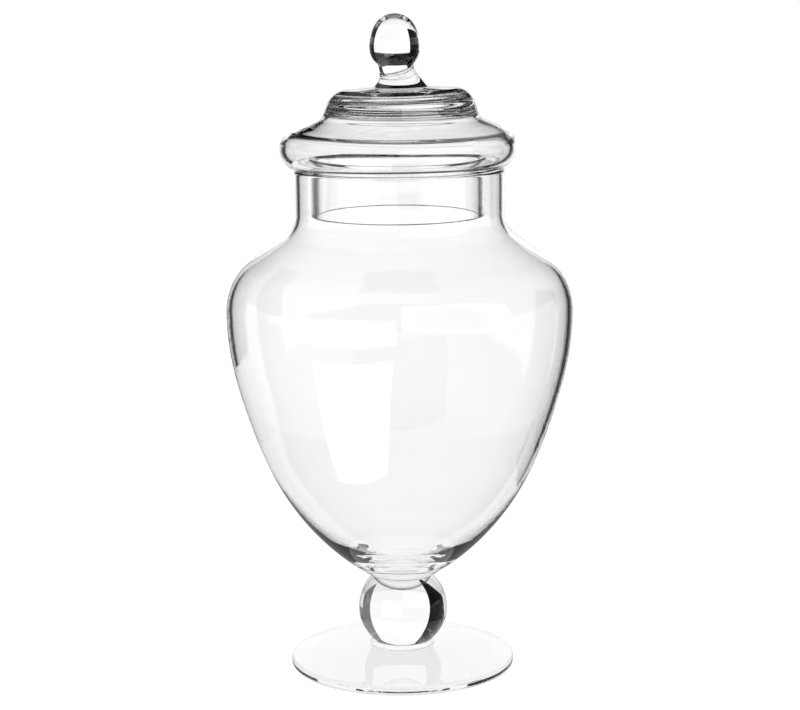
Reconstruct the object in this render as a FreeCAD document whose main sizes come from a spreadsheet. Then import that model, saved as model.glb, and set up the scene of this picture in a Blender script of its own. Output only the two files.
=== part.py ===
import FreeCAD, Part
import math
import os
import Sketcher

# Apothecary jar of clear blown glass: a footed bowl and a lift-off lid.
# The origin is the centre of the foot's resting face, +Z is up, all lengths are millimetres.

doc = FreeCAD.newDocument("apothecary_jar")

# ---------------------------------------------------------------- driving dimensions
# Every size is written once, here. Names become cell aliases in the spreadsheet.
SIZES = {
    # foot and stem
    "foot_radius": 69.4,          # outside of the foot
    "foot_edge": 5.5,             # thickness of the foot at its rim
    "foot_height": 12.2,          # top of the foot under the collar ring
    "foot_rounding": 2.0,         # fire-polished rim of the foot
    "merese_radius": 20.3,        # flat ring between foot and ball
    "merese_height": 3.4,
    "merese_rounding": 1.2,
    "knop_radius": 27.5,          # ball of the stem
    "waist_radius": 17.9,         # where bowl and ball are joined
    "tip_depth": 12.0,            # how far the bowl's tip is let into the ball
    # bowl
    "mouth_height": 310.5,        # top of the lip above the table
    "neck_radius": 63.8,          # outside of the neck
    "bowl_radius": 105.8,         # outside of the bowl at its widest
    "widest_height": 224.0,
    "neck_fillet": 15.7,
    "shoulder_slope": 36.5,       # degrees below level
    "shoulder_round": 40.0,
    "side_round": 170.3,
    "side_end_height": 182.7,     # the side arc ends here and the flank arc starts
    "flank_round": 331.4,
    "flank_end_height": 127.7,    # the flank arc ends here and the base arc starts
    "bowl_wall": 3.0,
    "throat_radius": 19.0,        # inside, where the base turns down into the tip
    "throat_height": 68.0,
    "throat_rounding": 6.0,
    "cavity_bottom": 50.0,        # lowest point inside
    "lip_rounding": 1.4,
    # lid
    "flange_overhang": 8.0,       # how far the lid's rolled rim stands out past the neck
    "flange_round": 12.2,         # radius of the rolled rim's section
    "flange_slope": 24.0,         # degrees below level, top of the rim
    "tier_step": 24.2,            # how far the upper tier's foot is inside the rolled rim
    "tier_flare": 21.0,           # degrees off upright
    "tier_fillet": 3.0,
    "crown_round": 12.5,
    "crown_slope": 4.0,           # degrees below level
    "crown_rise": 49.2,           # lid top above the mouth
    "lid_wall": 3.6,
    "crown_thickness": 14.5,      # solid glass under the finial
    "ceiling_round": 6.0,         # corner of the hollow under the crown
    "seat_gap": 0.35,             # clearance between lip and lid
    "collar_gap": 8.1,            # clearance between collar and neck
    "collar_depth": 28.1,         # collar edge below the mouth
    "collar_chamfer": 0.4,
    # finial
    "finial_foot_radius": 16.5,
    "finial_neck_height": 13.2,
    "knob_radius": 15.45,
    "knob_widest_rise": 10.9,     # widest place above the top of the finial's neck
    "knob_height": 30.6,
    "knob_low_round": 14.8,
    "knob_side_round": 25.5,
}

sheet = doc.addObject("Spreadsheet::Sheet", "sizes")
for row, (word, value) in enumerate(SIZES.items(), start=1):
    sheet.set("A%d" % row, word)
    sheet.set("B%d" % row, str(value))
    sheet.setAlias("B%d" % row, word)
doc.recompute()


def size(word):
    """The value of one named size, as the spreadsheet holds it."""
    return float(sheet.get(word))


def s(formula):
    """Write a formula of size names as a spreadsheet expression."""
    for word in sorted(SIZES, key=len, reverse=True):
        formula = formula.replace("<%s>" % word, "sizes." + word)
    return formula


def worked_out(formula):
    """The number that the same formula gives, used to lay a sketch out close to its solution."""
    for word in SIZES:
        formula = formula.replace("<%s>" % word, "(%r)" % size(word))
    total = sheet.evalExpression(formula)
    return float(getattr(total, "Value", total))


# Heights and radii that follow from the sizes above.
WAIST_HEIGHT = (
    "(<foot_height> + <merese_height> + sqrt(<knop_radius>^2 - (<merese_radius> - <merese_rounding>)^2)"
    " + sqrt(<knop_radius>^2 - <waist_radius>^2))"
)
KNOP_CENTRE = (
    "(<foot_height> + <merese_height>"
    " + sqrt(<knop_radius>^2 - (<merese_radius> - <merese_rounding>)^2))"
)
KNOP_BOTTOM = "(<foot_height> + <merese_height>)"
TIP_HEIGHT = "(%s - <tip_depth>)" % WAIST_HEIGHT
FLANGE_RADIUS = "(<neck_radius> + <flange_overhang>)"
TIER_RADIUS = "(%s - <tier_step>)" % FLANGE_RADIUS
COLLAR_RADIUS = "(<neck_radius> - <bowl_wall> - <collar_gap>)"
RIM_CENTRE_RADIUS = "(%s - <flange_round>)" % FLANGE_RADIUS
LIP_MIDDLE = "(<neck_radius> - <bowl_wall> / 2)"
RIM_CENTRE_HEIGHT = (
    "(<mouth_height> + <seat_gap> + sqrt(<flange_round>^2 - (%s - %s)^2))"
    % (LIP_MIDDLE, RIM_CENTRE_RADIUS)
)
CREASE_HEIGHT = (
    "(%s - sqrt(<flange_round>^2 - (%s - %s)^2))"
    % (RIM_CENTRE_HEIGHT, RIM_CENTRE_RADIUS, COLLAR_RADIUS)
)
CROWN_HEIGHT = "(<mouth_height> + <crown_rise>)"
COLLAR_BOTTOM = "(<mouth_height> - <collar_depth>)"
KNOB_BOTTOM = "(%s + <finial_neck_height>)" % CROWN_HEIGHT
KNOB_WIDEST = "(%s + <knob_widest_rise>)" % KNOB_BOTTOM
KNOB_FOOT_RADIUS = (
    "(<knob_radius> - <knob_low_round> + sqrt(<knob_low_round>^2 - <knob_widest_rise>^2))"
)
KNOB_TOP = "(%s + <knob_height>)" % KNOB_BOTTOM


# ---------------------------------------------------------------- outline helper
class Outline:
    """Half of a section in one sketch: radius to the right, height up, drawn piece after piece.

    A piece is (geometry number, end where the pen started, end where it stopped).
    """

    def __init__(self, body, name):
        self.body = body
        self.sketch = body.newObject("Sketcher::SketchObject", name)
        planes = [p for p in body.Origin.OriginFeatures if p.Role == "XZ_Plane"]
        self.sketch.AttachmentSupport = (planes[0], [""])
        self.sketch.MapMode = "FlatFace"

    def line(self, start, end):
        a = FreeCAD.Vector(start[0], start[1], 0)
        b = FreeCAD.Vector(end[0], end[1], 0)
        return (self.sketch.addGeometry(Part.LineSegment(a, b), False), 1, 2)

    def arc(self, centre, start, end, clockwise=False):
        """An arc the short way round; FreeCAD always stores it counterclockwise."""
        radius = math.hypot(start[0] - centre[0], start[1] - centre[1])
        first = math.atan2(start[1] - centre[1], start[0] - centre[0])
        last = math.atan2(end[1] - centre[1], end[0] - centre[0])
        if clockwise:
            first, last = last, first
        while last <= first:
            last += 2 * math.pi
        circle = Part.Circle(FreeCAD.Vector(centre[0], centre[1], 0), FreeCAD.Vector(0, 0, 1), radius)
        number = self.sketch.addGeometry(Part.ArcOfCircle(circle, first, last), False)
        return (number, 2, 1) if clockwise else (number, 1, 2)

    def join(self, one, other):
        """The end of one piece is the start of the next."""
        self.sketch.addConstraint(Sketcher.Constraint("Coincident", one[0], one[2], other[0], other[1]))

    def flow(self, one, other):
        """As join, and with no corner between them."""
        self.sketch.addConstraint(Sketcher.Constraint("Tangent", one[0], one[2], other[0], other[1]))

    def rule(self, *words):
        self.sketch.addConstraint(Sketcher.Constraint(*words))

    def level(self, piece):
        self.rule("Horizontal", piece[0])

    def upright(self, piece):
        self.rule("Vertical", piece[0])

    def on_axis(self, piece, end):
        self.rule("PointOnObject", piece[0], end, -2)

    def same_centre(self, one, other):
        self.rule("Coincident", one[0], 3, other[0], 3)

    def parallel(self, one, other):
        self.rule("Parallel", one[0], other[0])

    def bind(self, kind, ends, formula, unit=""):
        """A measured constraint whose value is a formula of the spreadsheet's cells."""
        value = worked_out(formula)
        if kind == "Angle":
            value = math.radians(value)
        number = self.sketch.addConstraint(Sketcher.Constraint(kind, *ends, value))
        expression = s(formula)
        if unit:
            expression = "(%s) * 1 %s" % (expression, unit)
        self.sketch.setExpression("Constraints[%d]" % number, expression)

    def radius_at(self, piece, end, formula):
        self.bind("DistanceX", (-1, 1, piece[0], end), formula)

    def height_at(self, piece, end, formula):
        self.bind("DistanceY", (-1, 1, piece[0], end), formula)

    def arc_radius(self, piece, formula):
        self.bind("Radius", (piece[0],), formula)

    def turn(self, name):
        """Revolve the outline once round the upright axis."""
        feature = self.body.newObject("PartDesign::Revolution", name)
        feature.Profile = self.sketch
        feature.ReferenceAxis = (self.sketch, ["V_Axis"])
        feature.Angle = 360.0
        self.sketch.Visibility = False
        doc.recompute()
        return feature


def new_body(label):
    body = doc.addObject("PartDesign::Body", label)
    body.Label = label
    body.Placement = FreeCAD.Placement()
    return body


def round_edges(body, feature, kind, word, places):
    """Fillet or chamfer the circles of a feature that lie at the given (radius, height) places."""
    edges = []
    for number, edge in enumerate(feature.Shape.Edges, start=1):
        if edge.Degenerated or not isinstance(edge.Curve, Part.Circle):
            continue
        for radius, height in places:
            centre = edge.Curve.Center
            if abs(edge.Curve.Radius - radius) < 0.01 and abs(centre.z - height) < 0.01:
                if abs(centre.x) < 0.01 and abs(centre.y) < 0.01:
                    edges.append("Edge%d" % number)
    if len(set(edges)) < len(places):
        raise ValueError("%s: an edge to dress was not found" % body.Label)
    dressed = body.newObject("PartDesign::" + kind, body.Label + "_" + kind.lower())
    dressed.Base = (feature, sorted(set(edges)))
    bound = "Radius" if kind == "Fillet" else "Size"
    dressed.setExpression(bound, "sizes." + word)
    doc.recompute()
    return dressed


def towards(start, end, length):
    """The point that lies the given length from start on the way to end."""
    reach = math.hypot(end[0] - start[0], end[1] - start[1])
    return (
        start[0] + (end[0] - start[0]) * length / reach,
        start[1] + (end[1] - start[1]) * length / reach,
    )


def along(point, direction, length):
    return (point[0] + direction[0] * length, point[1] + direction[1] * length)


def dot(a, b):
    return a[0] * b[0] + a[1] * b[1]


def tangent_centre(start, inward, end):
    """Centre of the arc that leaves start at right angles to inward and passes through end."""
    across = (end[0] - start[0], end[1] - start[1])
    return along(start, inward, dot(across, across) / (2 * dot(across, inward)))


# ---------------------------------------------------------------- foot
# A disc of glass, thin at the rim and thicker towards the middle.
foot = new_body("foot")
o = Outline(foot, "foot_outline")
rim, edge_height = size("foot_radius"), size("foot_edge")
middle, top = size("merese_radius"), size("foot_height")
base = o.line((0, 0), (rim, 0))
edge = o.line((rim, 0), (rim, edge_height))
slope = o.line((rim, edge_height), (middle, top))
pad = o.line((middle, top), (0, top))
axis = o.line((0, top), (0, 0))
for one, other in ((base, edge), (edge, slope), (slope, pad), (pad, axis), (axis, base)):
    o.join(one, other)
o.rule("Coincident", base[0], 1, -1, 1)
o.level(base)
o.level(pad)
o.upright(edge)
o.upright(axis)
o.radius_at(base, 2, "<foot_radius>")
o.height_at(edge, 2, "<foot_edge>")
o.radius_at(slope, 2, "<merese_radius>")
o.height_at(slope, 2, "<foot_height>")
foot_disc = o.turn("foot_disc")
round_edges(foot, foot_disc, "Fillet", "foot_rounding", [(rim, 0), (rim, edge_height)])

# ---------------------------------------------------------------- merese
# The flat button of glass that joins foot and ball.
merese = new_body("merese")
o = Outline(merese, "merese_outline")
low, high, wide = size("foot_height"), worked_out(KNOP_BOTTOM), size("merese_radius")
base = o.line((0, low), (wide, low))
edge = o.line((wide, low), (wide, high))
cover = o.line((wide, high), (0, high))
axis = o.line((0, high), (0, low))
for one, other in ((base, edge), (edge, cover), (cover, axis), (axis, base)):
    o.join(one, other)
o.on_axis(base, 1)
o.level(base)
o.level(cover)
o.upright(edge)
o.upright(axis)
o.radius_at(base, 2, "<merese_radius>")
o.height_at(base, 2, "<foot_height>")
o.height_at(edge, 2, KNOP_BOTTOM)
merese_disc = o.turn("merese_disc")
round_edges(merese, merese_disc, "Fillet", "merese_rounding", [(wide, low), (wide, high)])

# ---------------------------------------------------------------- knop
# The solid ball of the stem. Its top is hollowed where the bowl's tip was pressed in.
knop = new_body("knop")
o = Outline(knop, "knop_outline")
centre = (0, worked_out(KNOP_CENTRE))
flat = size("merese_radius") - size("merese_rounding")
waist = (size("waist_radius"), worked_out(WAIST_HEIGHT))
tip = (0, worked_out(TIP_HEIGHT))
socket_radius = (waist[0] ** 2 + size("tip_depth") ** 2) / (2 * size("tip_depth"))
base = o.line((0, high), (flat, high))
ball = o.arc(centre, (flat, high), waist)
socket = o.arc((0, tip[1] + socket_radius), waist, tip, clockwise=True)
axis = o.line(tip, (0, high))
for one, other in ((base, ball), (ball, socket), (socket, axis), (axis, base)):
    o.join(one, other)
o.level(base)
o.upright(axis)
o.on_axis(base, 1)
o.on_axis(ball, 3)
o.on_axis(socket, 3)
o.arc_radius(ball, "<knop_radius>")
o.height_at(base, 2, KNOP_BOTTOM)
o.radius_at(base, 2, "<merese_radius> - <merese_rounding>")
o.radius_at(ball, ball[2], "<waist_radius>")
o.height_at(socket, socket[2], TIP_HEIGHT)
o.turn("knop_ball")

# ---------------------------------------------------------------- bowl
# One blown shell: neck, sloping shoulder, round body, thick tip let into the ball.
bowl = new_body("bowl")
o = Outline(bowl, "bowl_outline")
mouth, wall = size("mouth_height"), size("bowl_wall")
neck, widest = size("neck_radius"), size("widest_height")
slope_angle = math.radians(size("shoulder_slope"))
slope_normal = (math.sin(slope_angle), math.cos(slope_angle))
shoulder_centre = (size("bowl_radius") - size("shoulder_round"), widest)
fillet_centre_x = neck + size("neck_fillet")
fillet_centre = (
    fillet_centre_x,
    (dot(slope_normal, shoulder_centre) + size("shoulder_round") + size("neck_fillet")
     - slope_normal[0] * fillet_centre_x) / slope_normal[1],
)
side_centre = (size("bowl_radius") - size("side_round"), widest)
side_end = (
    side_centre[0] + math.sqrt(size("side_round") ** 2 - (widest - size("side_end_height")) ** 2),
    size("side_end_height"),
)
flank_centre = towards(side_end, side_centre, size("flank_round"))
flank_end = (
    flank_centre[0]
    + math.sqrt(size("flank_round") ** 2 - (flank_centre[1] - size("flank_end_height")) ** 2),
    size("flank_end_height"),
)


def shell_side(inset, last_point):
    """Points of one skin of the bowl, the given inset inside the outer one."""
    neck_low = (neck - inset, fillet_centre[1])
    slope_high = along(fillet_centre, slope_normal, -size("neck_fillet") - inset)
    slope_low = along(shoulder_centre, slope_normal, size("shoulder_round") - inset)
    bulge = (size("bowl_radius") - inset, widest)
    side_low = towards(side_end, side_centre, inset)
    flank_low = towards(flank_end, flank_centre, inset)
    inward = towards((0, 0), (flank_centre[0] - flank_end[0], flank_centre[1] - flank_end[1]), 1)
    base_centre = tangent_centre(flank_low, inward, last_point)
    return [
        o.line((neck - inset, mouth), neck_low),
        o.arc(fillet_centre, neck_low, slope_high),
        o.line(slope_high, slope_low),
        o.arc(shoulder_centre, slope_low, bulge, clockwise=True),
        o.arc(side_centre, bulge, side_low, clockwise=True),
        o.arc(flank_centre, side_low, flank_low, clockwise=True),
        o.arc(base_centre, flank_low, last_point, clockwise=True),
    ]


throat = (size("throat_radius"), size("throat_height"))
hollow_low = (0, size("cavity_bottom"))
well_radius = (throat[0] ** 2 + (throat[1] - hollow_low[1]) ** 2) / (2 * (throat[1] - hollow_low[1]))
lip = o.line((neck - wall, mouth), (neck, mouth))
outer = shell_side(0, waist)
tip_skin = o.arc((0, tip[1] + socket_radius), waist, tip, clockwise=True)
axis = o.line(tip, hollow_low)
inner = shell_side(wall, throat)
well = o.arc((0, hollow_low[1] + well_radius), throat, hollow_low, clockwise=True)
o.join(lip, outer[0])
for side in (outer, inner):
    for one, other in zip(side, side[1:]):
        o.flow(one, other)
o.join(outer[-1], tip_skin)
o.join(tip_skin, axis)
o.rule("Coincident", axis[0], 2, well[0], well[2])
o.join(inner[-1], well)
o.rule("Coincident", lip[0], 1, inner[0][0], 1)
o.level(lip)
o.upright(outer[0])
o.upright(inner[0])
o.upright(axis)
o.on_axis(tip_skin, tip_skin[2])
o.on_axis(tip_skin, 3)
o.on_axis(well, 3)
for number in (1, 3, 4, 5):
    o.same_centre(outer[number], inner[number])
o.parallel(outer[2], inner[2])
o.height_at(lip, 2, "<mouth_height>")
o.radius_at(lip, 2, "<neck_radius>")
o.radius_at(lip, 1, "<neck_radius> - <bowl_wall>")
o.arc_radius(outer[1], "<neck_fillet>")
o.arc_radius(outer[3], "<shoulder_round>")
o.arc_radius(outer[4], "<side_round>")
o.arc_radius(outer[5], "<flank_round>")
o.bind("Angle", (-1, outer[2][0]), "-<shoulder_slope>", "deg")
o.radius_at(outer[3], outer[3][2], "<bowl_radius>")
o.height_at(outer[3], outer[3][2], "<widest_height>")
o.height_at(outer[3], 3, "<widest_height>")
o.height_at(outer[4], outer[4][2], "<side_end_height>")
o.height_at(outer[5], outer[5][2], "<flank_end_height>")
o.height_at(inner[5], inner[5][2], "<flank_end_height>")
o.radius_at(outer[6], outer[6][2], "<waist_radius>")
o.height_at(outer[6], outer[6][2], WAIST_HEIGHT)
o.height_at(tip_skin, tip_skin[2], TIP_HEIGHT)
o.radius_at(inner[6], inner[6][2], "<throat_radius>")
o.height_at(inner[6], inner[6][2], "<throat_height>")
o.height_at(well, well[2], "<cavity_bottom>")
shell = o.turn("bowl_shell")
mouth_round = round_edges(
    bowl, shell, "Fillet", "lip_rounding", [(neck, mouth), (neck - wall, mouth)])
throat_round = round_edges(bowl, mouth_round, "Fillet", "throat_rounding", [throat])
throat_round.Label = "bowl_throat_fillet"

# ---------------------------------------------------------------- lid cover
# One blown shell: crown, upper tier, sloping rim top and a rolled rim that rests on the lip.
lid_cover = new_body("lid_cover")
o = Outline(lid_cover, "lid_cover_outline")
rim_centre = (worked_out(RIM_CENTRE_RADIUS), worked_out(RIM_CENTRE_HEIGHT))
rim_round, skin = size("flange_round"), size("lid_wall")
crease = (worked_out(COLLAR_RADIUS), worked_out(CREASE_HEIGHT))
crown_flat = (size("finial_foot_radius"), worked_out(CROWN_HEIGHT))
rim_angle = math.radians(size("flange_slope"))
rim_normal = (math.sin(rim_angle), math.cos(rim_angle))
tier_angle = math.radians(size("tier_flare"))
tier_normal = (math.cos(tier_angle), math.sin(tier_angle))
crown_angle = math.radians(size("crown_slope"))
crown_normal = (math.sin(crown_angle), math.cos(crown_angle))
rim_line = dot(rim_normal, rim_centre) + rim_round
fillet = size("tier_fillet")
tier_radius = worked_out(TIER_RADIUS)
tier_low = (
    tier_radius,
    (rim_line + fillet - fillet * dot(rim_normal, tier_normal)
     - rim_normal[0] * tier_radius) / rim_normal[1],
)
tier_centre = along(tier_low, tier_normal, fillet)
tier_line = dot(tier_normal, tier_low)
crown_line = dot(crown_normal, crown_flat)
# The crown's corner arc touches both the tier's side and the crown's slope.
across = tier_normal[0] * crown_normal[1] - tier_normal[1] * crown_normal[0]
side_offset = tier_line - size("crown_round")
top_offset = crown_line - size("crown_round")
corner_centre = (
    (side_offset * crown_normal[1] - top_offset * tier_normal[1]) / across,
    (tier_normal[0] * top_offset - crown_normal[0] * side_offset) / across,
)


def lid_side(inset):
    """The tier's side, its fillet, the rim's slope and the rolled rim, the given inset inside the outer skin."""
    side_low = along(tier_centre, tier_normal, -fillet - inset)
    slope_high = along(tier_centre, rim_normal, -fillet - inset)
    slope_low = along(rim_centre, rim_normal, rim_round - inset)
    rim_end = towards(rim_centre, crease, rim_round - inset)
    return side_low, [
        o.arc(tier_centre, side_low, slope_high),
        o.line(slope_high, slope_low),
        o.arc(rim_centre, slope_low, rim_end, clockwise=True),
    ]


# Outer skin: level pad under the finial, gentle slope, rounded corner, tier side, then the rim.
corner_high = along(corner_centre, crown_normal, size("crown_round"))
corner_low = along(corner_centre, tier_normal, size("crown_round"))
crown = o.line((0, crown_flat[1]), crown_flat)
shoulder = o.line(crown_flat, corner_high)
corner = o.arc(corner_centre, corner_high, corner_low, clockwise=True)
side_low, outer_rim = lid_side(0)
outer_side = o.line(corner_low, side_low)
outer = [shoulder, corner, outer_side] + outer_rim
foot_line = o.line(crease, (crease[0] - skin, crease[1]))

# Inner skin: flat ceiling, rounded corner, then the same course one wall further in.
ceiling_height = crown_flat[1] - size("crown_thickness")
ceiling_round = size("ceiling_round")
inner_line = tier_line - skin
hollow_centre_height = ceiling_height - ceiling_round
hollow_centre = (
    (inner_line - ceiling_round - tier_normal[1] * hollow_centre_height) / tier_normal[0],
    hollow_centre_height,
)
hollow_corner_low = along(hollow_centre, tier_normal, ceiling_round)
ceiling = o.line((0, ceiling_height), (hollow_centre[0], ceiling_height))
hollow_corner = o.arc(
    hollow_centre, (hollow_centre[0], ceiling_height), hollow_corner_low, clockwise=True)
inner_low, inner_rim = lid_side(skin)
inner_side = o.line(hollow_corner_low, inner_low)
bead = o.arc(crease, towards(crease, rim_centre, skin), (crease[0] - skin, crease[1]))
inner = [ceiling, hollow_corner, inner_side] + inner_rim + [bead]
axis = o.line((0, crown_flat[1]), (0, ceiling_height))
o.join(crown, outer[0])
for side in (outer, inner):
    for one, other in zip(side, side[1:]):
        o.flow(one, other)
o.join(outer[-1], foot_line)
o.rule("Coincident", foot_line[0], 2, bead[0], bead[2])
o.rule("Coincident", crown[0], 1, axis[0], 1)
o.rule("Coincident", axis[0], 2, ceiling[0], 1)
o.level(crown)
o.level(ceiling)
o.level(foot_line)
o.upright(axis)
o.on_axis(axis, 1)
o.parallel(outer_side, inner_side)
for one, other in zip(outer_rim, inner_rim):
    if one is outer_rim[1]:
        o.parallel(one, other)
    else:
        o.same_centre(one, other)
o.rule("Coincident", bead[0], 3, outer_rim[2][0], outer_rim[2][2])
o.radius_at(crown, 2, "<finial_foot_radius>")
o.height_at(crown, 2, CROWN_HEIGHT)
o.bind("Angle", (-1, shoulder[0]), "-<crown_slope>", "deg")
o.arc_radius(corner, "<crown_round>")
o.bind("Angle", (-1, outer_side[0]), "<tier_flare> - 90", "deg")
o.radius_at(outer_side, 2, TIER_RADIUS)
o.arc_radius(outer_rim[0], "<tier_fillet>")
o.bind("Angle", (-1, outer_rim[1][0]), "-<flange_slope>", "deg")
o.arc_radius(outer_rim[2], "<flange_round>")
o.radius_at(outer_rim[2], 3, RIM_CENTRE_RADIUS)
o.height_at(outer_rim[2], 3, RIM_CENTRE_HEIGHT)
o.radius_at(outer_rim[2], outer_rim[2][2], COLLAR_RADIUS)
o.height_at(ceiling, 1, "%s - <crown_thickness>" % CROWN_HEIGHT)
o.arc_radius(hollow_corner, "<ceiling_round>")
o.arc_radius(inner_rim[0], "<tier_fillet> + <lid_wall>")
o.turn("lid_cover_shell")

# ---------------------------------------------------------------- lid collar
# The tube that enters the neck; its lower edge is cut flat and lightly ground.
lid_collar = new_body("lid_collar")
o = Outline(lid_collar, "lid_collar_outline")
collar_out = worked_out(COLLAR_RADIUS)
collar_in = collar_out - skin
collar_low = worked_out(COLLAR_BOTTOM)
base = o.line((collar_in, collar_low), (collar_out, collar_low))
outside = o.line((collar_out, collar_low), crease)
cover = o.line(crease, (collar_in, crease[1]))
inside = o.line((collar_in, crease[1]), (collar_in, collar_low))
for one, other in ((base, outside), (outside, cover), (cover, inside), (inside, base)):
    o.join(one, other)
o.level(base)
o.level(cover)
o.upright(outside)
o.upright(inside)
o.radius_at(base, 1, "%s - <lid_wall>" % COLLAR_RADIUS)
o.radius_at(base, 2, COLLAR_RADIUS)
o.height_at(base, 1, COLLAR_BOTTOM)
o.height_at(cover, 1, CREASE_HEIGHT)
collar_tube = o.turn("collar_tube")
round_edges(
    lid_collar, collar_tube, "Chamfer", "collar_chamfer",
    [(collar_in, collar_low), (collar_out, collar_low)])

# ---------------------------------------------------------------- finial neck
# The drawn stem of the finial, spreading on to the crown.
finial_neck = new_body("finial_neck")
o = Outline(finial_neck, "finial_neck_outline")
knob_low = (worked_out(KNOB_FOOT_RADIUS), worked_out(KNOB_BOTTOM))
flare_centre = tangent_centre(knob_low, (1, 0), crown_flat)
base = o.line((0, crown_flat[1]), crown_flat)
flare = o.arc(flare_centre, crown_flat, knob_low, clockwise=True)
cover = o.line(knob_low, (0, knob_low[1]))
axis = o.line((0, knob_low[1]), (0, crown_flat[1]))
for one, other in ((base, flare), (flare, cover), (cover, axis), (axis, base)):
    o.join(one, other)
o.on_axis(base, 1)
o.level(base)
o.level(cover)
o.upright(axis)
o.radius_at(base, 2, "<finial_foot_radius>")
o.height_at(base, 2, CROWN_HEIGHT)
o.radius_at(cover, 1, KNOB_FOOT_RADIUS)
o.height_at(cover, 1, KNOB_BOTTOM)
o.height_at(flare, 3, KNOB_BOTTOM)
o.turn("finial_neck_stem")

# ---------------------------------------------------------------- finial knob
# The egg-shaped grip.
finial_knob = new_body("finial_knob")
o = Outline(finial_knob, "finial_knob_outline")
knob_widest = (size("knob_radius"), worked_out(KNOB_WIDEST))
knob_top = (0, worked_out(KNOB_TOP))
low_centre = (knob_widest[0] - size("knob_low_round"), knob_widest[1])
knob_side_centre = (knob_widest[0] - size("knob_side_round"), knob_widest[1])
# The cap's centre is on the axis, and the cap runs on smoothly from the side.
rise = knob_top[1] - knob_widest[1]
cap_radius = (
    (size("knob_side_round") ** 2 - knob_side_centre[0] ** 2 - rise ** 2)
    / (2 * (size("knob_side_round") - rise))
)
cap_centre = (0, knob_top[1] - cap_radius)
cap_low = towards(knob_side_centre, cap_centre, size("knob_side_round"))
base = o.line((0, knob_low[1]), knob_low)
lower = o.arc(low_centre, knob_low, knob_widest)
upper = o.arc(knob_side_centre, knob_widest, cap_low)
cap = o.arc(cap_centre, cap_low, knob_top)
axis = o.line(knob_top, (0, knob_low[1]))
o.join(base, lower)
o.flow(lower, upper)
o.flow(upper, cap)
o.join(cap, axis)
o.join(axis, base)
o.level(base)
o.upright(axis)
o.on_axis(base, 1)
o.on_axis(cap, 3)
o.arc_radius(lower, "<knob_low_round>")
o.arc_radius(upper, "<knob_side_round>")
o.height_at(base, 1, KNOB_BOTTOM)
o.radius_at(lower, lower[2], "<knob_radius>")
o.height_at(lower, lower[2], KNOB_WIDEST)
o.height_at(lower, 3, KNOB_WIDEST)
o.height_at(cap, cap[2], KNOB_TOP)
o.turn("finial_knob_egg")

# ---------------------------------------------------------------- check and write
doc.recompute()
bodies = [foot, merese, knop, bowl, lid_cover, lid_collar, finial_neck, finial_knob]
for thing in doc.Objects:
    if "Invalid" in thing.State or "Error" in thing.State:
        raise ValueError("%s could not be built: %s" % (thing.Label, thing.State))
    if thing.isDerivedFrom("Sketcher::SketchObject") and not thing.FullyConstrained:
        raise ValueError("%s can still move" % thing.Label)
os.makedirs("parts", exist_ok=True)
for body in bodies:
    shape = body.Shape
    if shape.isNull() or not shape.isValid() or len(shape.Solids) != 1:
        raise ValueError("%s is not one sound solid" % body.Label)
    print("%-12s %9.0f mm3" % (body.Label, shape.Volume))
    shape.exportStep("parts/%s.step" % body.Label)
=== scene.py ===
# %% [markdown]
# # A footed apothecary jar in blown glass
# The frame comes first: the imported model, its two bodies (the jar and its lid) and its eight
# pieces of glass. Everything below is made on top of that frame, in metres, with the foot
# resting at height zero.

# %% Load the frame
import math

import bmesh
import bpy
from mathutils import Matrix, Vector


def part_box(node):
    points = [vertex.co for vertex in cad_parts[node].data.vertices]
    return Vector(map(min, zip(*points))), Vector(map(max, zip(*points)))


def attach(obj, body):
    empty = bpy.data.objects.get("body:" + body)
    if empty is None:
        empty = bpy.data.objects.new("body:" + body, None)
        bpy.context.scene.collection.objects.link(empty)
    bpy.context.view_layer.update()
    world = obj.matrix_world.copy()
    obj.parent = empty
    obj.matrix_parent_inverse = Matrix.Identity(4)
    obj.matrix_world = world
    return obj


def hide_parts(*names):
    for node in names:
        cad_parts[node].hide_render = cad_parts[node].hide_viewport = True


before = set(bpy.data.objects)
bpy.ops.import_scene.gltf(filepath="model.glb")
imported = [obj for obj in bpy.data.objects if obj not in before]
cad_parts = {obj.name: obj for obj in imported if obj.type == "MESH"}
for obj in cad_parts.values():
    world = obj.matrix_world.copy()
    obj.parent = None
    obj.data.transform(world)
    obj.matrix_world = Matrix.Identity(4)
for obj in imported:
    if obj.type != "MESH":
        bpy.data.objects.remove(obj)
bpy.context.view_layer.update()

for node in sorted(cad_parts):
    low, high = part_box(node)
    print(node, [round(v * 1000, 1) for v in low], [round(v * 1000, 1) for v in high])

# %% [markdown]
# ## Heights and radii
# The joins between the pieces are read from the boxes of the pieces themselves, so a piece made
# here sits where the model has it, as long as the right box is asked for the right edge. What a
# box can't say, such as where a curve starts, is written as a value in millimetres.

# %% Read the joins
MM = 0.001


def top_of(node):
    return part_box(node)[1].z / MM


def foot_of(node):
    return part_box(node)[0].z / MM


def radius_of(node):
    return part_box(node)[1].x / MM


foot_top = top_of("foot")
merese_top = top_of("merese")
mouth_height = top_of("bowl")
tip_height = foot_of("bowl")
waist_height = top_of("knop")
crown_height = top_of("lid_cover")
# The cover meets the collar above its own lowest point, which is the rolled rim.
crease_height = top_of("lid_collar")
collar_low = foot_of("lid_collar")
knob_low_height = foot_of("finial_knob")
knob_top_height = top_of("finial_knob")
foot_radius = radius_of("foot")
bowl_radius = radius_of("bowl")
knop_radius = radius_of("knop")
merese_radius = radius_of("merese")
rim_radius = radius_of("lid_cover")
collar_radius = radius_of("lid_collar")
finial_foot_radius = radius_of("finial_neck")
knob_radius = radius_of("finial_knob")
print("mouth", round(mouth_height, 1), "crown", round(crown_height, 1), "waist", round(waist_height, 1))

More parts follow.
